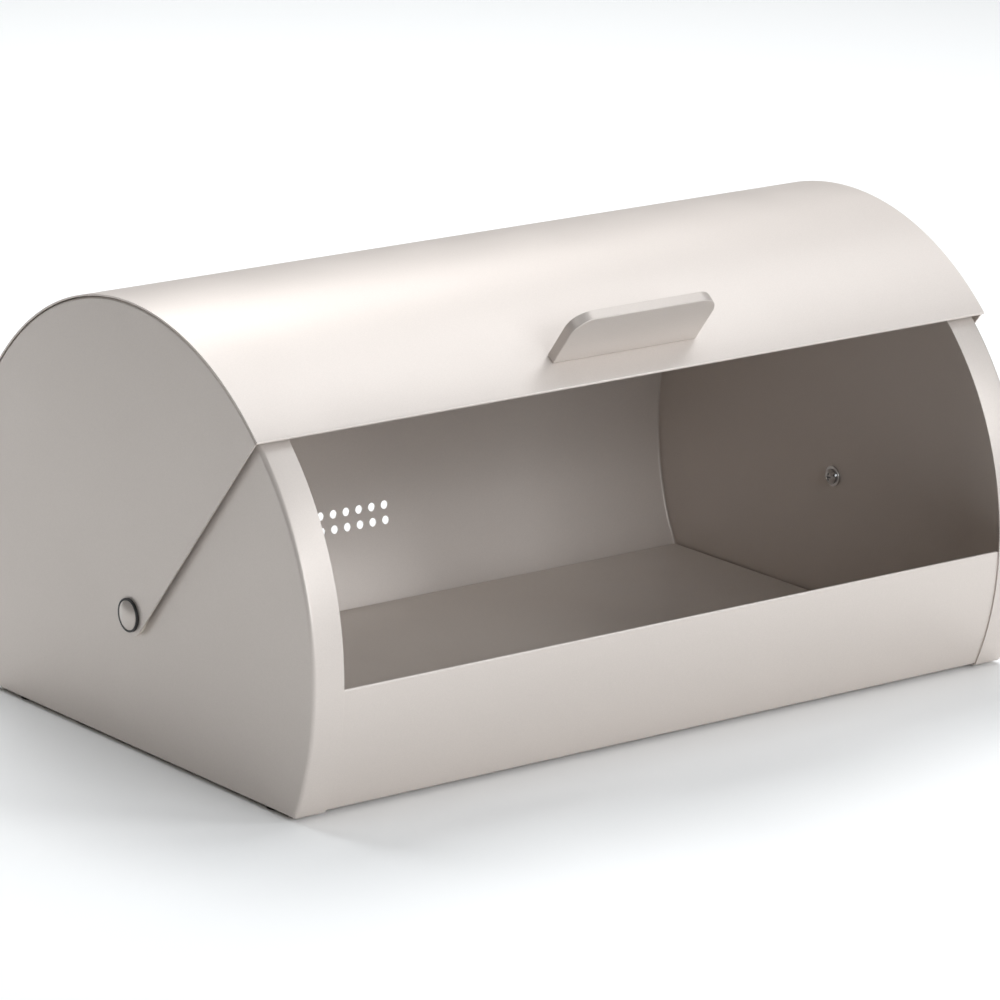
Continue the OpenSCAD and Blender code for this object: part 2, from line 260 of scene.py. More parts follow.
def coated_metal(name, code, rough, flake, peel_mm, peel_depth_mm, mottle, smudge):
    """Thermoset coat on metal: even colour, slight cloudiness, orange peel and soft smudges."""
    mat, tree = new_material(name)
    where = add(tree, "ShaderNodeTexCoord")
    # Film thickness drifts over about 90 mm, which clouds the colour very slightly
    cloud = add(tree, "ShaderNodeTexNoise", inputs={"Scale": 11.0, "Detail": 3.0, "Roughness": 0.55},
                links=[("Vector", where, "Object")])
    # Pigment and metallic fines: real grains are under 0.1 mm, drawn at 0.6 mm so that they show
    grain = add(tree, "ShaderNodeTexNoise",
                inputs={"Scale": 1 / (0.6 * MM), "Detail": 2.0, "Roughness": 0.6},
                links=[("Vector", where, "Object")])
    tint = add(tree, "ShaderNodeMix", {"data_type": "RGBA"},
               {"A": tone(code, 1 - mottle), "B": tone(code, 1 + mottle)},
               [("Factor", cloud, "Fac")])
    speck = add(tree, "ShaderNodeMapRange",
                inputs={"From Min": 0.3, "From Max": 0.7, "To Min": 0.975, "To Max": 1.025},
                links=[("Value", grain, "Fac")])
    colour = add(tree, "ShaderNodeVectorMath", {"operation": "SCALE"},
                 links=[("Vector", tint, "Result"), ("Scale", speck, "Result")])
    # Handling leaves soft patches some 35 mm across, where the satin is a little closed up
    patch = add(tree, "ShaderNodeTexNoise", inputs={"Scale": 28.0, "Detail": 2.0},
                links=[("Vector", where, "Object")])
    gloss = add(tree, "ShaderNodeMapRange",
                inputs={"From Min": 0.1, "From Max": 0.9,
                        "To Min": rough + smudge, "To Max": rough - smudge},
                links=[("Value", patch, "Fac")])
    peel = add(tree, "ShaderNodeTexNoise",
               inputs={"Scale": 1 / (peel_mm * MM), "Detail": 1.5, "Roughness": 0.4},
               links=[("Vector", where, "Object")])
    bump = add(tree, "ShaderNodeBump", inputs={"Strength": 1.0, "Distance": peel_depth_mm * MM},
               links=[("Height", peel, "Fac")])
    shader = add(tree, "ShaderNodeBsdfPrincipled", inputs={"Metallic": flake, "IOR": 1.5},
                 links=[("Base Color", colour, "Vector"), ("Roughness", gloss, "Result"),
                        ("Normal", bump, "Normal")])
    add(tree, "ShaderNodeOutputMaterial", links=[("Surface", shader, "BSDF")])
    return mat


def powder_coat(finish):
    """Polyester powder coat on sheet steel, sprayed and baked: satin, with a fine orange peel."""
    return coated_metal("powder_coated_steel_satin", finish.coat_hex, finish.coat_rough, finish.flake,
                        finish.peel_mm, peel_depth_mm=0.006, mottle=0.012, smudge=0.03)


def powder_coat_floor(finish):
    """The same coat on the floor panel, in a paler colour that is painted light falling into the box;
    its tone and satin vary in larger patches.
    """
    # The paler colour here is painted light on the floor panel.
    return coated_metal("powder_coated_steel_painted_light", finish.floor_painted_light_hex, finish.coat_rough - 0.06,
                        finish.flake, finish.peel_mm, peel_depth_mm=0.008, mottle=0.035, smudge=0.09)


def cast_coat(finish):
    """Powder coat on a pressure-cast zinc handle: the same paint on a slightly softer skin."""
    return coated_metal("powder_coated_zinc_casting", finish.handle_hex, finish.coat_rough,
                        finish.flake, peel_mm=2.2, peel_depth_mm=0.010, mottle=0.015, smudge=0.03)


def post_paint(finish):
    """Stoved paint on a turned steel pivot: smoother and glossier than the panels."""
    return coated_metal("stoved_paint_turned_steel", finish.post_hex, rough=0.28, flake=0.3,
                        peel_mm=1.2, peel_depth_mm=0.002, mottle=0.01, smudge=0.04)


def zinc_plate(finish):
    """Bright zinc electroplate on steel: soft grey metal with a fine cast and rubbed patches."""
    mat, tree = new_material("bright_zinc_plated_steel")
    where = add(tree, "ShaderNodeTexCoord")
    # Spangle of the plating bath, about 0.5 mm across
    spangle = add(tree, "ShaderNodeTexNoise",
                  inputs={"Scale": 1 / (0.5 * MM), "Detail": 3.0, "Roughness": 0.6},
                  links=[("Vector", where, "Object")])
    tint = add(tree, "ShaderNodeMix", {"data_type": "RGBA"},
               {"A": tone(finish.zinc_hex, 0.86), "B": tone(finish.zinc_hex, 1.06)},
               [("Factor", spangle, "Fac")])
    gloss = add(tree, "ShaderNodeMapRange", inputs={"To Min": 0.16, "To Max": 0.32},
                links=[("Value", spangle, "Fac")])
    shader = add(tree, "ShaderNodeBsdfPrincipled", inputs={"Metallic": 1.0},
                 links=[("Base Color", tint, "Result"), ("Roughness", gloss, "Result")])
    add(tree, "ShaderNodeOutputMaterial", links=[("Surface", shader, "BSDF")])
    return mat


def plain_polymer(name, code, rough, grain_mm, grain_depth_mm, ior):
    """Moulded or punched polymer with a fine eroded skin."""
    mat, tree = new_material(name)
    where = add(tree, "ShaderNodeTexCoord")
    skin = add(tree, "ShaderNodeTexNoise", inputs={"Scale": 1 / (grain_mm * MM), "Detail": 3.0},
               links=[("Vector", where, "Object")])
    tint = add(tree, "ShaderNodeMix", {"data_type": "RGBA"},
               {"A": tone(code, 0.9), "B": tone(code, 1.1)}, [("Factor", skin, "Fac")])
    gloss = add(tree, "ShaderNodeMapRange", inputs={"To Min": rough - 0.06, "To Max": rough + 0.06},
                links=[("Value", skin, "Fac")])
    bump = add(tree, "ShaderNodeBump", inputs={"Strength": 1.0, "Distance": grain_depth_mm * MM},
               links=[("Height", skin, "Fac")])
    shader = add(tree, "ShaderNodeBsdfPrincipled", inputs={"IOR": ior},
                 links=[("Base Color", tint, "Result"), ("Roughness", gloss, "Result"),
                        ("Normal", bump, "Normal")])
    add(tree, "ShaderNodeOutputMaterial", links=[("Surface", shader, "BSDF")])
    return mat


def white_nylon():
    """Natural polyamide 6, moulded: milky and faintly satin."""
    return plain_polymer("moulded_nylon_natural", "E6E1D4", rough=0.4, grain_mm=0.4,
                         grain_depth_mm=0.004, ior=1.53)


def black_nylon():
    """Polyamide 6 with carbon black, moulded: a thin dark ring round the pivot head."""
    return plain_polymer("moulded_nylon_black", "1C1B1B", rough=0.42, grain_mm=0.4,
                         grain_depth_mm=0.004, ior=1.53)


def rubber():
    """Black nitrile rubber pad, die-cut from skived sheet: dull, with a fine open grain."""
    return plain_polymer("die_cut_rubber_black", "232220", rough=0.8, grain_mm=0.5,
                         grain_depth_mm=0.03, ior=1.52)


def studio_paper(finish):
    """Matt seamless studio paper: an even, nearly white ground with a faint fibre."""
    mat, tree = new_material("seamless_studio_paper")
    where = add(tree, "ShaderNodeTexCoord")
    # Paper fibre is about 0.5 mm; drawn at 4 mm so that it shows at all
    fibre = add(tree, "ShaderNodeTexNoise", inputs={"Scale": 250.0, "Detail": 2.0},
                links=[("Vector", where, "Object")])
    tint = add(tree, "ShaderNodeMix", {"data_type": "RGBA"},
               {"A": tone(finish.floor_hex, 0.995), "B": tone(finish.floor_hex, 1.0)},
               [("Factor", fibre, "Fac")])
    shader = add(tree, "ShaderNodeBsdfPrincipled",
                 inputs={"Roughness": 0.95, "Specular IOR Level": 0.0},
                 links=[("Base Color", tint, "Result")])
    add(tree, "ShaderNodeOutputMaterial", links=[("Surface", shader, "BSDF")])
    return mat


def material(context, maker):
    """The material that a maker builds, made once and then shared."""
    if maker.__name__ not in _made:
        _made[maker.__name__] = (maker() if maker in (white_nylon, black_nylon, rubber)
                                 else maker(context.scene.bread_finish))
    return _made[maker.__name__]


_made = {}


# ---------------------------------------------------------------- mesh helpers

def at(r, a):
    """Point (y, z) at radius r and angle a round the pivot."""
    return (-r * math.cos(a), PIVOT_Z + r * math.sin(a))


def spread(a, b, count):
    """Evenly spaced values from a to b, both included."""
    return [a + (b - a) * i / (count - 1) for i in range(count)]


def solid_mesh(name, points, faces):
    """Mesh from points in metres, with coincident points merged and normals outwards."""
    bm = bmesh.new()
    verts = [bm.verts.new(p) for p in points]
    for face in faces:
        ring = [verts[i] for i in face]
        if len(set(ring)) > 2:
            bm.faces.new(ring)
    bmesh.ops.remove_doubles(bm, verts=bm.verts, dist=1e-7)
    bmesh.ops.recalc_face_normals(bm, faces=bm.faces)
    mesh = bpy.data.meshes.new(name)
    bm.to_mesh(mesh)
    bm.free()
    return mesh


def piece(context, name, points, faces, body, nodes, maker, edge_r, segments=2):
    """Piece from points in metres, with its cut edges rounded, riding on its body."""
    dress(context, name, solid_mesh(name, points, faces), body, nodes, maker, edge_r, segments)


def dress(context, name, mesh, body, nodes, maker, edge_r, segments=2):
    """Object from a mesh: smooth faces, rounded edges, material, body and CAD nodes."""
    mesh.shade_smooth()
    mesh.set_sharp_from_angle(angle=EDGE_A)
    mesh.materials.clear()
    mesh.materials.append(material(context, maker))
    obj = bpy.data.objects.new(name, mesh)
    context.scene.collection.objects.link(obj)
    if edge_r > 0:
        bevel = obj.modifiers.new("edge_rounding", "BEVEL")
        bevel.width = edge_r
        bevel.segments = segments
        bevel.limit_method = "ANGLE"
        bevel.angle_limit = EDGE_A
        bevel.harden_normals = True
        bevel.use_clamp_overlap = True
    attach(obj, body)
    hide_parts(*nodes)


def plate_screw(context, node):
    """Zinc plate on a screw that stays as the frame draws it."""
    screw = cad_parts[node]
    screw.data.materials.clear()
    screw.data.materials.append(material(context, zinc_plate))


def grid_faces(rows, cols, wrap=False, start=0):
    """Quads over a grid of points given row by row."""
    last = cols if wrap else cols - 1
    return [(start + r * cols + c, start + r * cols + (c + 1) % cols,
             start + (r + 1) * cols + (c + 1) % cols, start + (r + 1) * cols + c)
            for r in range(rows - 1) for c in range(last)]


def folded_sheet(stations):
    """Solid sheet from stations (x, ribs); a rib is the pair (outer point, inner point)."""
    ribs = len(stations[0][1])
    points = []
    for x, pairs in stations:
        points += [(x, *outer) for outer, inner in pairs]
        points += [(x, *inner) for outer, inner in reversed(pairs)]
    faces = grid_faces(len(stations), 2 * ribs, wrap=True)
    for end in (0, (len(stations) - 1) * 2 * ribs):
        faces += [(end + i, end + i + 1, end + 2 * ribs - 2 - i, end + 2 * ribs - 1 - i)
                  for i in range(ribs - 1)]
    return points, faces


def arc_ribs(r, t, angles):
    """Ribs of a sheet rolled to outer radius r."""
    return [(at(r, a), at(r - t, a)) for a in angles]


def hem_ribs(r, t, a, turn, count=7):
    """Ribs of a flat hem, from its round nose at angle a to its cut edge at a + turn."""
    cy, cz = at(r - t, a)
    back = math.copysign(1, turn)
    out = (-math.cos(a), math.sin(a))
    along = (-math.sin(a) * back, -math.cos(a) * back)
    ribs = []
    for b in spread(0, math.pi / 2, 6)[:-1]:
        c, s = math.cos(b), math.sin(b)
        ribs.append(tuple((cy + t * (along[0] * c + k * out[0] * s),
                           cz + t * (along[1] * c + k * out[1] * s)) for k in (1, -1)))
    ribs += [(at(r, x), at(r - 2 * t, x)) for x in spread(a, a + turn, count)]
    return ribs


def lathe(profile, side, steps=64):
    """Ring or button turned round the pivot from a closed profile of (radius, x)."""
    points = []
    for r, x in profile:
        points += [(side * x, r * math.cos(2 * math.pi * i / steps),
                    PIVOT_Z + r * math.sin(2 * math.pi * i / steps)) for i in range(steps)]
    rows = len(profile)
    faces = grid_faces(rows, steps, wrap=True)
    faces += [((rows - 1) * steps + i, (rows - 1) * steps + (i + 1) % steps,
               (i + 1) % steps, i) for i in range(steps)]
    return points, faces


# ---------------------------------------------------------------- body

def wrap_ribs(sheet, start_a):
    """Front half of the sheet wrapped round the body: hem, roll, bottom bend and floor lap."""
    t, r, bend = sheet.sheet_t, BARREL_R - sheet.sheet_t, sheet.bend_r
    under = BASE_Z + t
    bend_z = under + bend
    bend_y = -math.sqrt((r - bend) ** 2 - (PIVOT_Z - bend_z) ** 2)
    low_a = math.atan2(bend_z - PIVOT_Z, -bend_y)
    turn = -sheet.hem_w / r
    ribs = hem_ribs(r, t, start_a, turn)
    steps = max(12, round(math.degrees(start_a + turn - low_a) / 1.3))
    ribs += arc_ribs(r, t, spread(start_a + turn - HEM_GAP / r, low_a, steps))
    ribs += [tuple((bend_y - q * math.cos(a), bend_z + q * math.sin(a)) for q in (bend, bend - t))
             for a in spread(low_a, -math.pi / 2, 8)[1:]]
    lap_y = bend_y + bend + sheet.hem_w
    ribs += [((y, under), (y, under + t)) for y in spread(bend_y, lap_y, 4)[1:]]
    return ribs


def panel_ring(inset, x, corner_r):
    """Outline of a side panel at one depth: barrel arc, two small corners and flat bottom."""
    r, f, low = BARREL_R - inset, max(corner_r - inset, MIN_CORNER_R), BASE_Z + inset
    cz = low + f
    cy = math.sqrt((r - f) ** 2 - (PIVOT_Z - cz) ** 2)
    a0 = math.atan2(cz - PIVOT_Z, cy)
    ring = [at(r, a) for a in spread(a0, math.pi - a0, PANEL_STEPS)]
    corner = [(cy + f * math.cos(b), cz + f * math.sin(b)) for b in spread(a0, -math.pi / 2, 7)[1:]]
    ring += corner
    ring += [(y, low) for y in spread(cy, -cy, 13)[1:-1]]
    ring += [(-y, z) for y, z in reversed(corner)]
    return [(x, y, z) for y, z in ring]


class BREADBOX_OT_side_panels(bpy.types.Operator):
    """Presses the two side panels: a face with a rounded bend and a flange all round"""

    bl_idname = "breadbox.side_panels"
    bl_label = "Side panels"

    def execute(self, context):
        sheet = context.scene.bread_sheet
        t, bend = sheet.sheet_t, sheet.bend_r
        lip = SIDE_X - FLANGE_W
        beside = lip + 1.5 * MM         # a ring close to the flange's cut edge
        turn = spread(0, math.pi / 2, 8)
        outer = [(0.0, lip), (0.0, beside)]
        outer += [(bend * (1 - math.cos(b)), SIDE_X - bend + bend * math.sin(b)) for b in turn]
        inner = [(t, lip), (t, beside)]
        inner += [(bend - (bend - t) * math.cos(b), SIDE_X - bend + (bend - t) * math.sin(b))
                  for b in turn]
        for name, side in SIDES:
            rings = [panel_ring(i, side * x, sheet.corner_r) for i, x in outer]
            for x, ring in ((SIDE_X, rings[-1]), (SIDE_X - t, rings[-1])):
                hub = []
                for _, y, z in ring:
                    reach = math.hypot(y, z - PIVOT_Z)
                    hub.append((side * x, y * SPIGOT_BORE_R / reach,
                                PIVOT_Z + (z - PIVOT_Z) * SPIGOT_BORE_R / reach))
                rings.append(hub)
            rings += [panel_ring(i, side * x, sheet.corner_r) for i, x in reversed(inner)]
            cols = len(rings[0])
            points = [p for ring in rings for p in ring]
            faces = grid_faces(len(rings), cols, wrap=True)
            end = (len(rings) - 1) * cols
            faces += [(end + i, end + (i + 1) % cols, (i + 1) % cols, i) for i in range(cols)]
            piece(context, f"pressed_side_{name}", points, faces, BODY, [f"{name}_side_panel"],
                  powder_coat, sheet.edge_r)
        return {"FINISHED"}


class BREADBOX_OT_front_panel(bpy.types.Operator):
    """Rolls the front panel, with a hemmed sill and a lap under the floor"""

    bl_idname = "breadbox.front_panel"
    bl_label = "Front panel"

    def execute(self, context):
        sheet = context.scene.bread_sheet
        ribs = wrap_ribs(sheet, sheet.sill_a)
        points, faces = folded_sheet([(x, ribs) for x in spread(-WRAP_X, WRAP_X, 5)])
        piece(context, "rolled_front", points, faces, BODY, ["front_panel"],
              powder_coat, sheet.edge_r)
        return {"FINISHED"}


class BREADBOX_OT_floor_panel(bpy.types.Operator):
    """Lays the floor panel, which sags a little between its welded edges"""

    bl_idname = "breadbox.floor_panel"
    bl_label = "Floor panel"

    def execute(self, context):
        lo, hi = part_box("floor_panel")
        sag = context.scene.bread_sheet.floor_sag
        stations = []
        for x in spread(lo.x, hi.x, 33):
            ribs = []
            for y in spread(lo.y, hi.y, 21):
                dip = sag * math.cos(math.pi * x / (2 * hi.x)) * math.cos(math.pi * y / (2 * hi.y))
                ribs.append(((y, lo.z - dip), (y, hi.z - dip)))
            stations.append((x, ribs))
        points, faces = folded_sheet(stations)
        piece(context, "floor_sheet", points, faces, BODY, ["floor_panel"],
              powder_coat_floor, context.scene.bread_sheet.edge_r)
        return {"FINISHED"}


class BREADBOX_OT_back_shell(bpy.types.Operator):
    """Rolls the top and back in one sheet, hems its front edge and punches the vents"""

    bl_idname = "breadbox.back_shell"
    bl_label = "Back shell"

    def execute(self, context):
        sheet = context.scene.bread_sheet
        mirrored = wrap_ribs(sheet, math.pi - sheet.crown_a)
        ribs = [((-o[0], o[1]), (-i[0], i[1])) for o, i in mirrored]
        points, faces = folded_sheet([(x, ribs) for x in spread(-WRAP_X, WRAP_X, 5)])
        mesh = self.punch(context, solid_mesh("back_blank", points, faces), sheet)
        dress(context, "rolled_back", mesh, BODY, ["back_shell"], powder_coat,
              sheet.edge_r)
        return {"FINISHED"}

    def punch(self, context, blank, sheet):
        """Mesh of the blank with the vents cut through it along the barrel's radii."""
        r = BARREL_R - sheet.sheet_t
        rows, steps = 2, 32
        past = 4 * MM                   # how far a punch reaches either side of the inner face
        punches = bmesh.new()
        for row in range(rows):
            a = math.pi + sheet.vent_drop_a + (row - (rows - 1) / 2) * sheet.vent_pitch / r
            out = Vector((0, -math.cos(a), math.sin(a)))
            up = Vector((1, 0, 0)).cross(out)
            for col in range(sheet.vent_cols):
                x = (col - (sheet.vent_cols - 1) / 2) * sheet.vent_pitch
                ends = []
                for reach in (r - past, r + past):
                    mid = Vector((x, 0, PIVOT_Z)) + out * reach
                    ends.append([punches.verts.new(
                        mid + sheet.vent_d / 2 * (math.cos(b) * Vector((1, 0, 0))
                                                  + math.sin(b) * up))
                        for b in [2 * math.pi * i / steps for i in range(steps)]])
                for i in range(steps):
                    j = (i + 1) % steps
                    punches.faces.new((ends[0][i], ends[0][j], ends[1][j], ends[1][i]))
                punches.faces.new(ends[0])
                punches.faces.new(ends[1])
        bmesh.ops.recalc_face_normals(punches, faces=punches.faces)
        tool_mesh = bpy.data.meshes.new("punches")
        punches.to_mesh(tool_mesh)
        punches.free()
        tool = bpy.data.objects.new("punches", tool_mesh)
        work = bpy.data.objects.new("back_blank", blank)
        for o in (tool, work):
            context.scene.collection.objects.link(o)
        cut = work.modifiers.new("vents", "BOOLEAN")
        cut.operation, cut.solver, cut.object = "DIFFERENCE", "EXACT", tool
        context.view_layer.update()
        mesh = bpy.data.meshes.new_from_object(
            work.evaluated_get(context.evaluated_depsgraph_get()))
        mesh.name = "rolled_back"
        bpy.data.objects.remove(work)
        bpy.data.objects.remove(tool)
        return mesh


class BREADBOX_OT_feet(bpy.types.Operator):
    """Sets the four rubber pads: round-edged, and slightly pressed out at the bottom"""

    bl_idname = "breadbox.feet"
    bl_label = "Feet"

    def execute(self, context):
        steps = 48
        for end in ("front", "rear"):
            for side in ("left", "right"):
                lo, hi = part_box(f"foot_{end}_{side}")
                mid, r, h = (lo + hi) / 2, (hi.x - lo.x) / 2, hi.z
                # From the top's centre out, down the flared side and in under the sole
                profile = [(0, h), (r - 0.35 * MM, h), (r - 0.2 * MM, h - 0.12 * MM),
                           (r - 0.12 * MM, h * 0.6), (r, h * 0.3), (r - 0.08 * MM, 0.15 * MM),
                           (r - 0.4 * MM, 0), (r * 0.5, 0), (0, 0)]
                points = [(mid.x + q * math.cos(2 * math.pi * i / steps),
                           mid.y + q * math.sin(2 * math.pi * i / steps), z)
                          for q, z in profile for i in range(steps)]
                piece(context, f"rubber_pad_{end}_{side}", points,
                      grid_faces(len(profile), steps, wrap=True), BODY, [f"foot_{end}_{side}"],
                      rubber, 0)
        return {"FINISHED"}


# ---------------------------------------------------------------- pivots

def ring_profile(r0, r1, x0, x1, e):
    """Closed profile of a flat ring with its four edges rounded by e."""
    return [(r0 + e, x0), (r1 - e, x0), (r1 - 0.3 * e, x0 + 0.3 * e), (r1, x0 + e), (r1, x1 - e),
            (r1 - 0.3 * e, x1 - 0.3 * e), (r1 - e, x1), (r0 + e, x1), (r0, x1 - e), (r0, x0 + e)]


class BREADBOX_OT_pivots(bpy.types.Operator):
    """Turns the pivot posts and their washers, and plates the screws that clamp them"""

    bl_idname = "breadbox.pivots"
    bl_label = "Pivots"

    def execute(self, context):
        for name, side in SIDES:
            self.post(context, name, side)
            for part, bore, slot, maker in (
                    ("spacer_washer", SHOULDER_BORE_R, "white_nylon", white_nylon),
                    ("inner_washer", SCREW_BORE_R, "zinc_plate", zinc_plate)):
                node = f"{name}_{part}"
                lo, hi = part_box(node)
                near, far = sorted((abs(lo.x), abs(hi.x)))
                points, faces = lathe(ring_profile(bore, hi.y, near, far, WASHER_EDGE), side)
                piece(context, f"{part}_{name}", points, faces, BODY, [node], maker, 0)
            self.cup(context, name, side)
            plate_screw(context, f"{name}_pivot_screw")
        return {"FINISHED"}

    def cup(self, context, name, side):
        """Cup washer: a flat floor under the head and a rim that stands up round it."""
        r, low, top = CUP_HI.y, CUP_LO.x, CUP_HI.x
        gap, e = 0.1 * MM, 0.2 * MM     # air round the head, and rounding of the cup's edges
        seat_r, floor_x = POST_HI.y + gap, low + CUP_FLOOR
        profile = [(SHOULDER_BORE_R, low), (r - e, low), (r, low + e), (r, top - e),
                   (r - 0.3 * e, top - 0.3 * e), (r - e, top), (seat_r + e, top), (seat_r, top - e),
                   (seat_r, floor_x), (SHOULDER_BORE_R, floor_x)]
        points, faces = lathe(profile, side)
        piece(context, f"outer_washer_{name}", points, faces, BODY, [f"{name}_outer_washer"],
              black_nylon, 0)

    def post(self, context, name, side):
        """Low domed head on its shoulder and locating end."""
        tip, head_r = POST_HI.x, POST_HI.y
        clear, edge_h = 0.05 * MM, 0.75 * MM    # air over the cup's floor, height of the head's edge
        chamfer = 0.15 * MM
        under = CUP_LO.x + CUP_FLOOR + clear
        rise, fall = tip - under - edge_h, 2.2  # a fall of 2 is a parabola, more is flatter on top
        profile = [(0, tip)]
        profile += [(head_r * k, tip - rise * k ** fall) for k in spread(0.06, 1, 20)]
        profile += [(head_r, under + chamfer), (head_r - chamfer, under), (SHOULDER_R, under),
                    (SHOULDER_R, SIDE_X), (SPIGOT_R, SIDE_X), (SPIGOT_R, POST_LO.x), (0, POST_LO.x)]
        points, faces = lathe(profile, side, 96)
        piece(context, f"turned_post_{name}", points, faces, BODY, [f"{name}_pivot_post"],
              post_paint, 0)


# ---------------------------------------------------------------- lid

def lid_span(lid):
    """Angles of the cover's front and rear edges."""
    half = lid.fan_a / 2 + math.asin(lid.tip_r / LID_R)
    return lid.open_a, lid.open_a + 2 * half


class BREADBOX_OT_lid_cover(bpy.types.Operator):
    """Rolls the lid's cover, with a flat hem along both edges between the cheek flanges"""

    bl_idname = "breadbox.lid_cover"
    bl_label = "Lid cover"

    def execute(self, context):
        sheet, lid = context.scene.bread_sheet, context.scene.bread_lid
        t, turn = sheet.sheet_t, sheet.hem_w / LID_R
        front, rear = lid_span(lid)
        gap = HEM_GAP / LID_R
        ribs = hem_ribs(LID_R, t, front, turn)
        ribs += arc_ribs(LID_R, t, spread(front + turn + gap, rear - turn - gap, LID_STEPS))
        ribs += reversed(hem_ribs(LID_R, t, rear, -turn))
        plain = []
        for outer, inner in ribs:
            r = math.hypot(inner[0], inner[1] - PIVOT_Z)
            k = max(1.0, (LID_R - t) / r)
            plain.append((outer, (inner[0] * k, PIVOT_Z + (inner[1] - PIVOT_Z) * k)))
        # The hems stop short of the cheek flanges, where the sheet steps down to one layer
        side_gap, step = 0.2 * MM, 0.05 * MM
        hem_x = LID_X - lid.flange_w - side_gap
        stations = [(-LID_X, plain), (-hem_x - step, plain)]
        stations += [(x, ribs) for x in spread(-hem_x, hem_x, 5)]
        stations += [(hem_x + step, plain), (LID_X, plain)]
        points, faces = folded_sheet(stations)
        piece(context, "rolled_cover", points, faces, LID, ["lid_cover"],
              powder_coat, sheet.edge_r)
        return {"FINISHED"}


class BREADBOX_OT_lid_cheeks(bpy.types.Operator):
    """Presses the lid's two fan-shaped cheeks, flanged along their curved edge"""

    bl_idname = "breadbox.lid_cheeks"
    bl_label = "Lid cheeks"

    def execute(self, context):
        sheet, lid = context.scene.bread_sheet, context.scene.bread_lid
        t, bend = sheet.sheet_t, lid.cheek_bend_r
        front, rear = lid_span(lid)
        mid = (front + rear) / 2
        low, high = mid - lid.fan_a / 2, mid + lid.fan_a / 2
        rim_r = LID_R - t - lid.cover_slot
        bend_c = rim_r - bend
        turn = spread(0, math.pi / 2, 8)
        outer = [(lid.tip_r, LID_X)]
        outer += [(bend_c + bend * math.sin(b), LID_X - bend + bend * math.cos(b)) for b in turn]
        outer += [(rim_r, LID_X - lid.flange_w)]
        inner = [(lid.tip_r, LID_X - t)]
        inner += [(bend_c + (bend - t) * math.sin(b), LID_X - bend + (bend - t) * math.cos(b))
                  for b in turn]
        inner += [(rim_r - t, LID_X - lid.flange_w)]
        path, cols, tip_cols = outer + inner[::-1], LID_STEPS, 23
        rows = len(path)
        for name, side in SIDES:
            points = []
            for r, x in path:
                lean = math.asin(min(1.0, lid.tip_r / r))
                points += [(side * x, *at(r, a)) for a in spread(low - lean, high + lean, cols)]
            faces = grid_faces(rows, cols)
            for c in (0, cols - 1):
                faces += [(k * cols + c, (k + 1) * cols + c, (rows - 2 - k) * cols + c,
                           (rows - 1 - k) * cols + c) for k in range(rows // 2 - 1)]
            around = spread(low - math.pi / 2, high + math.pi / 2, cols)
            below = spread(high + math.pi / 2, low + 1.5 * math.pi, tip_cols + 2)[1:-1]
            loops = {}
            for key, x, first in (("out", LID_X, 0), ("in", LID_X - t, (rows - 1) * cols)):
                base = len(points)
                points += [(side * x, *at(lid.tip_r, a)) for a in below]
                tip = [first + i for i in range(cols)] + [base + i for i in range(tip_cols)]
                base = len(points)
                points += [(side * x, *at(SHOULDER_BORE_R, a)) for a in around + below]
                hub = [base + i for i in range(cols + tip_cols)]
                loops[key] = (tip, hub)
                n = len(tip)
                faces += [(tip[i], tip[(i + 1) % n], hub[(i + 1) % n], hub[i]) for i in range(n)]
            (tip_o, hub_o), (tip_i, hub_i) = loops["out"], loops["in"]
            faces += [(hub_o[i], hub_o[(i + 1) % n], hub_i[(i + 1) % n], hub_i[i])
                      for i in range(n)]
            faces += [(tip_o[i], tip_o[(i + 1) % n], tip_i[(i + 1) % n], tip_i[i])
                      for i in range(cols - 1, n)]
            piece(context, f"pressed_cheek_{name}", points, faces, LID, [f"lid_{name}_cheek"],
                  powder_coat, sheet.edge_r)
        return {"FINISHED"}


class BREADBOX_OT_stop_strip(bpy.types.Operator):
    """Folds the stop strip: a web inside the cover and a leg down from its front edge"""

    bl_idname = "breadbox.stop_strip"
    bl_label = "Stop strip"

    def execute(self, context):
        sheet, lid = context.scene.bread_sheet, context.scene.bread_lid
        t = sheet.sheet_t
        r = LID_R - t
        clear_a = math.radians(0.4)     # between the cover's front hem and the strip
        a = lid.open_a + sheet.hem_w / LID_R + clear_a
        along = Vector((math.sin(a), math.cos(a))) * t
        foot = Vector(at(BARREL_R - lid.stop_reach, a))
        ribs = [(tuple(foot + (Vector(at(r - t, a)) - foot) * k),
                 tuple(foot + along + (Vector(at(r - t, a)) - foot) * k)) for k in (0, 0.5, 0.9)]
        # The fold, in shares of the sheet's thickness
        ribs.append((at(r - 0.35 * t, a), at(r - t, a + 1.05 * t / r)))
        ribs.append((at(r, a + 0.35 * t / r), at(r - t, a + 1.15 * t / r)))
        ribs += arc_ribs(r, t, spread(a + 1.6 * t / r, a + lid.web_w / (r - t), 9))
        points, faces = folded_sheet([(x, ribs) for x in spread(-STOP_X, STOP_X, 5)])
        piece(context, "folded_stop", points, faces, LID, ["lid_stop_strip"],
              powder_coat, sheet.edge_r)
        return {"FINISHED"}


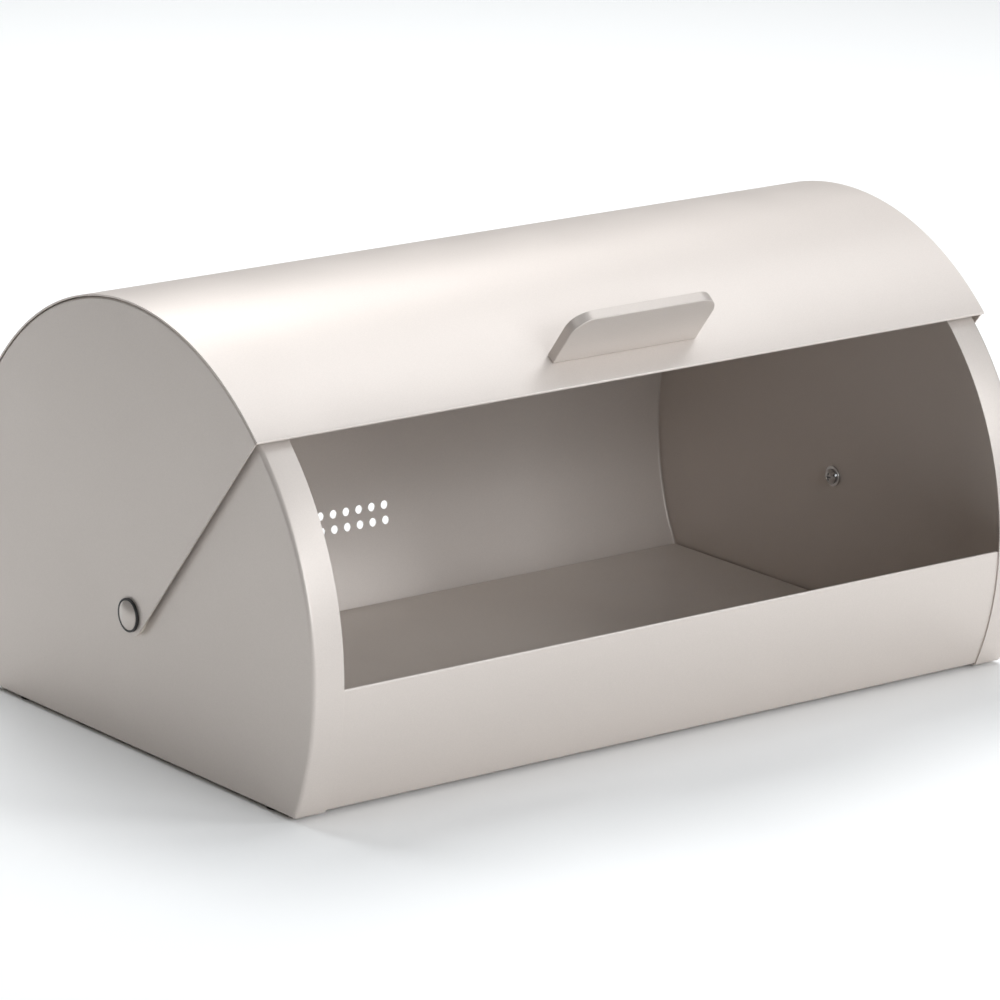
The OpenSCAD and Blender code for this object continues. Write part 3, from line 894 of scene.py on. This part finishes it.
class BREADBOX_OT_handle(bpy.types.Operator):
    """Casts the handle: a flat tab with round corners and soft edges, on two screws"""

    bl_idname = "breadbox.handle"
    bl_label = "Handle"

    def execute(self, context):
        lid = context.scene.bread_lid
        half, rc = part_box("handle")[1].x, lid.handle_corner_r
        a = lid.open_a + lid.handle_rise / LID_R
        out, along = Vector((0, -math.cos(a), math.sin(a))), Vector((0, math.sin(a), math.cos(a)))
        seat = 0.03 * MM                # by which the tab's foot is pressed into the cover's coat
        low, high = LID_R - seat, LID_R + lid.handle_reach
        outline = [(-half, low)]
        outline += [(rc - half - rc * math.cos(b), high - rc + rc * math.sin(b))
                    for b in spread(0, math.pi / 2, 13)]
        outline += [(-x, r) for x, r in reversed(outline)]
        n = len(outline)
        points = [Vector((x, 0, PIVOT_Z)) + out * r + along * (k * lid.handle_t / 2)
                  for k in (-1, 1) for x, r in outline]
        faces = [tuple(range(n)), tuple(range(2 * n - 1, n - 1, -1))]
        faces += [(i, (i + 1) % n, n + (i + 1) % n, n + i) for i in range(n)]
        piece(context, "cast_tab", points, faces, LID, ["handle"], cast_coat,
              lid.handle_edge_r, 4)
        for name, _ in SIDES:
            plate_screw(context, f"handle_screw_{name}")
        return {"FINISHED"}


# ---------------------------------------------------------------- stage

# Soft boxes: name, azimuth, elevation, distance, width, height (m), power (W), colour.
# Azimuth 0 is straight in front of the box and positive turns to its right.
COOL, PLAIN = (0.97, 1.0, 1.03), (1.0, 1.0, 1.0)
SOFT_BOXES = (
    ("front_low", 2, 18, 2.4, 1.4, 0.8, 25.0, COOL),
    ("left_fill", -102, 44, 2.4, 1.4, 1.0, 6.8, PLAIN),
    ("rear_high", 180, 60, 2.4, 1.6, 1.0, 35.0, COOL),
    ("right_high", 90, 60, 2.4, 1.4, 1.0, 14.4, COOL),
    ("key_low", 38, 18, 2.4, 0.7, 0.5, 4.5, COOL),
    ("key_mid", 38, 30, 2.4, 0.6, 0.6, 8.0, COOL),
    ("key_high", 45, 55, 2.4, 1.0, 1.0, 3.6, COOL),
    ("far_ground", 150, 48, 3.2, 1.6, 1.2, 28.0, PLAIN),
)


def place(azimuth, elevation, distance, aim):
    """Position and rotation of something that faces the aim from that direction."""
    back = Vector((math.sin(azimuth) * math.cos(elevation),
                   -math.cos(azimuth) * math.cos(elevation), math.sin(elevation)))
    return Matrix.Translation(aim + back * distance) @ back.to_track_quat("Z", "Y").to_matrix().to_4x4()


class BREADBOX_OT_stage(bpy.types.Operator):
    """Sets up the studio: pale floor, soft light and the camera"""

    bl_idname = "breadbox.stage"
    bl_label = "Studio"

    def execute(self, context):
        scene, stage = context.scene, context.scene.bread_stage
        aim = Vector(stage.aim)
        half = 8.0                      # half the floor's width, in metres
        mesh = bpy.data.meshes.new("studio_floor")
        mesh.from_pydata([(-half, -half, 0), (half, -half, 0), (half, half, 0), (-half, half, 0)],
                         [], [(0, 1, 2, 3)])
        mesh.materials.append(material(context, studio_paper))
        floor = bpy.data.objects.new("studio_floor", mesh)
        scene.collection.objects.link(floor)

        for name, azimuth, elevation, distance, width, height, power, colour in SOFT_BOXES:
            data = bpy.data.lights.new(name, "AREA")
            data.shape, data.size, data.size_y = "RECTANGLE", width, height
            data.energy, data.color = power, colour
            lamp = bpy.data.objects.new(name, data)
            scene.collection.objects.link(lamp)
            lamp.matrix_world = place(math.radians(azimuth), math.radians(elevation), distance, aim)

        world = bpy.data.worlds.new("studio_room")
        world.use_nodes = True
        world.node_tree.nodes.clear()
        sky = add(world.node_tree, "ShaderNodeBackground",
                  inputs={"Color": linear("FFFFFF"), "Strength": stage.world_level})
        add(world.node_tree, "ShaderNodeOutputWorld", links=[("Surface", sky, "Background")])
        scene.world = world
        scene.view_settings.view_transform = "Standard"

        data = bpy.data.cameras.new("studio_camera")
        data.sensor_width, data.lens = 36.0, stage.lens
        data.clip_start, data.clip_end = 0.1, 50.0
        camera = bpy.data.objects.new("studio_camera", data)
        scene.collection.objects.link(camera)
        camera.matrix_world = place(stage.azimuth, stage.elevation, stage.distance, aim)
        scene.camera = camera
        return {"FINISHED"}


# ---------------------------------------------------------------- add-on

STEPS = (
    BREADBOX_OT_side_panels, BREADBOX_OT_front_panel, BREADBOX_OT_floor_panel,
    BREADBOX_OT_back_shell, BREADBOX_OT_pivots, BREADBOX_OT_feet, BREADBOX_OT_lid_cover,
    BREADBOX_OT_lid_cheeks, BREADBOX_OT_stop_strip, BREADBOX_OT_handle, BREADBOX_OT_stage,
)


class BREADBOX_PT_panel(bpy.types.Panel):
    """Settings of the bread box and a button for each of its groups"""

    bl_idname = "BREADBOX_PT_panel"
    bl_label = "Bread box"
    bl_space_type = "VIEW_3D"
    bl_region_type = "UI"
    bl_category = "Bread box"

    def draw(self, context):
        for key in GROUPS:
            group = getattr(context.scene, key)
            box = self.layout.box()
            for prop in group.__annotations__:
                box.prop(group, prop)
        for step in STEPS:
            self.layout.operator(step.bl_idname)


GROUPS = {"bread_sheet": SheetSettings, "bread_lid": LidSettings,
          "bread_finish": FinishSettings, "bread_stage": StageSettings}
CLASSES = (*GROUPS.values(), *STEPS, BREADBOX_PT_panel)


def register():
    for cls in CLASSES:
        bpy.utils.register_class(cls)
    for key, group in GROUPS.items():
        setattr(bpy.types.Scene, key, PointerProperty(type=group))


def unregister():
    for key in GROUPS:
        delattr(bpy.types.Scene, key)
    for cls in reversed(CLASSES):
        bpy.utils.unregister_class(cls)


def main():
    """Registers the add-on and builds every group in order."""
    register()
    for step in STEPS:
        family, action = step.bl_idname.split(".")
        getattr(getattr(bpy.ops, family), action)()


if __name__ == "__main__":
    main()
